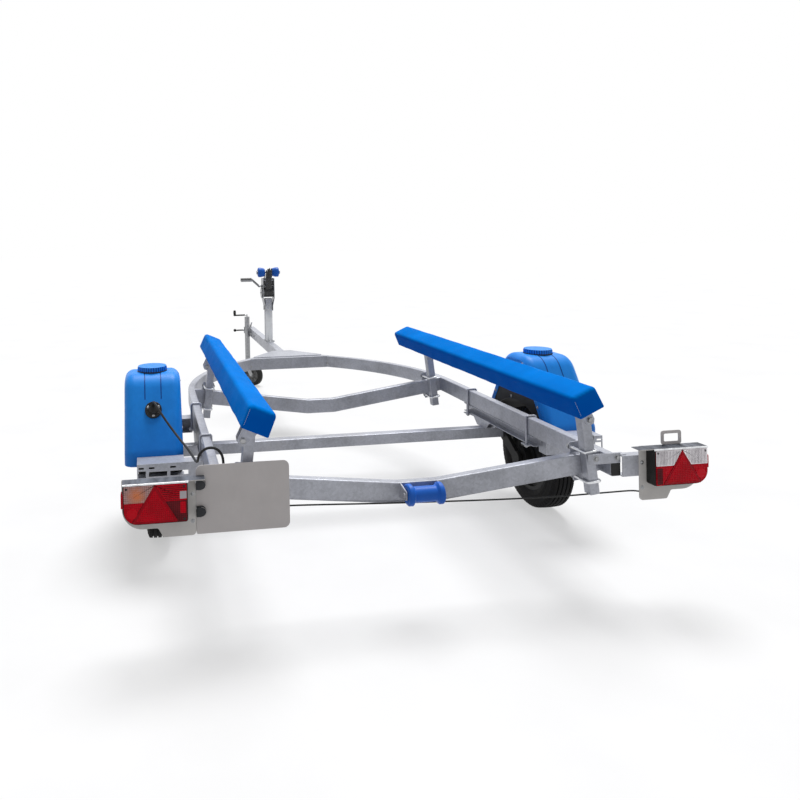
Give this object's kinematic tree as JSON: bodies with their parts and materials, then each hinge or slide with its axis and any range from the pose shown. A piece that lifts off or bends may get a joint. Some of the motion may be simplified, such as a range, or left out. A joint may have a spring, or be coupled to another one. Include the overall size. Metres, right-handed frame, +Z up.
{
  "type": "boat trailer",
  "caption": "Single-axle boat trailer with two padded bunks, a keel roller, a winch post, a jockey wheel and rear lamps.",
  "frame": {"origin": "on the ground under the middle of the whole trailer", "axes": "+Y forwards to the coupling, +X to the right, +Z up"},
  "size_m": [2.252, 4.51, 1.167],
  "materials": {
    "galvanised": "hot-dip galvanised, dull",
    "zinc_plated": "zinc plated, satin",
    "bunk_cover": "coated cloth, satin",
    "blue_plastic": "semi-gloss",
    "roller_plastic": "semi-gloss",
    "tyre_rubber": "matte",
    "wheel_paint": "satin dark grey",
    "arm_paint": "satin black",
    "lamp_red": "clear gloss",
    "grey_panel": "matte",
    "black_plastic": "satin",
    "black_rubber": "matte",
    "strap_web": "matte"
  },
  "bodies": {
    "chassis": {"axle_carrier_left": "galvanised", "axle_carrier_right": "galvanised", "axle_tube": "galvanised", "bow_stop_bracket": "galvanised", "bunk_left": "bunk_cover", "bunk_right": "bunk_cover", "coupling_head": "zinc_plated", "coupling_lever": "zinc_plated", "drawbar": "galvanised", "front_bunk_post_left": "galvanised", "front_bunk_post_right": "galvanised", "front_cross_tube": "galvanised", "hose_gland": "black_plastic", "jockey_clamp": "zinc_plated", "keel_roller_bracket": "galvanised", "lamp_bar_left": "galvanised", "lamp_bar_right": "galvanised", "lamp_cable": "black_rubber", "lamp_handle": "grey_panel", "lamp_plate_left": "grey_panel", "lamp_plate_right": "grey_panel", "middle_cross_beam": "galvanised", "mudguard_left": "blue_plastic", "mudguard_right": "blue_plastic", "mudguard_stays_left": "galvanised", "mudguard_stays_right": "galvanised", "nose_gusset": "galvanised", "number_panel": "grey_panel", "rail_left": "galvanised", "rail_right": "galvanised", "rear_bunk_post_left": "galvanised", "rear_bunk_post_right": "galvanised", "rear_cross_beam": "galvanised", "swing_arm_left": "arm_paint", "swing_arm_right": "arm_paint", "tail_lamp_left": "lamp_red", "tail_lamp_right": "lamp_red", "tank_hose": "black_rubber", "tank_outlet_left": "black_plastic", "tank_outlet_right": "black_plastic", "winch_frame": "zinc_plated", "winch_post": "galvanised", "winch_strap_tail": "strap_web"},
    "wheel_left": {"tyre_left": "tyre_rubber", "wheel_rim_left": "wheel_paint", "wheel_hub_left": "wheel_paint"},
    "wheel_right": {"tyre_right": "tyre_rubber", "wheel_rim_right": "wheel_paint", "wheel_hub_right": "wheel_paint"},
    "keel_roller": {"keel_roller": "roller_plastic"},
    "bow_roller_left": {"bow_roller_left": "roller_plastic"},
    "bow_roller_right": {"bow_roller_right": "roller_plastic"},
    "winch_drum": {"winch_drum": "zinc_plated", "winch_strap": "strap_web"},
    "winch_crank": {"winch_crank": "zinc_plated"},
    "jockey_outer": {"jockey_outer_tube": "zinc_plated"},
    "jockey_inner": {"jockey_inner_tube": "zinc_plated"},
    "jockey_castor": {"jockey_fork": "zinc_plated"},
    "jockey_wheel": {"jockey_wheel": "black_rubber"}
  },
  "joints": [
    {"name": "wheel_left_spin", "type": "hinge", "parent": "chassis", "child": "wheel_left", "pos_m": [-0.976, -1.302, 0.252], "axis": [1, 0, 0], "continuous": true},
    {"name": "wheel_right_spin", "type": "hinge", "parent": "chassis", "child": "wheel_right", "pos_m": [0.976, -1.302, 0.252], "axis": [1, 0, 0], "continuous": true},
    {"name": "keel_roller_spin", "type": "hinge", "parent": "chassis", "child": "keel_roller", "pos_m": [0, -2.176, 0.442], "axis": [1, 0, 0], "continuous": true},
    {"name": "bow_roller_left_spin", "type": "hinge", "parent": "chassis", "child": "bow_roller_left", "pos_m": [-0.06, 1.045, 1.127], "axis": [1, 0, 0], "continuous": true},
    {"name": "bow_roller_right_spin", "type": "hinge", "parent": "chassis", "child": "bow_roller_right", "pos_m": [0.06, 1.045, 1.127], "axis": [1, 0, 0], "continuous": true},
    {"name": "winch_drum_turn", "type": "hinge", "parent": "chassis", "child": "winch_drum", "pos_m": [0, 1.075, 0.955], "axis": [1, 0, 0], "continuous": true},
    {"name": "winch_crank_turn", "type": "hinge", "parent": "chassis", "child": "winch_crank", "pos_m": [0, 1.075, 1.011], "axis": [1, 0, 0], "continuous": true},
    {"name": "jockey_clamp_slide", "type": "slide", "parent": "chassis", "child": "jockey_outer", "axis": [0, 0, 1], "range_m": [0, 0.22]},
    {"name": "jockey_screw", "type": "slide", "parent": "jockey_outer", "child": "jockey_inner", "axis": [0, 0, 1], "range_m": [-0.15, 0.015]},
    {"name": "jockey_swivel", "type": "hinge", "parent": "jockey_inner", "child": "jockey_castor", "pos_m": [-0.06, 1.925, 0.2], "axis": [0, 0, 1], "continuous": true},
    {"name": "jockey_wheel_spin", "type": "hinge", "parent": "jockey_castor", "child": "jockey_wheel", "pos_m": [-0.01616, 1.88116, 0.1], "axis": [0.7071, 0.7071, 0], "continuous": true}
  ],
  "couplings": [
    {"joint": "winch_crank_turn", "follows": "winch_drum_turn", "ratio": -4}
  ]
}
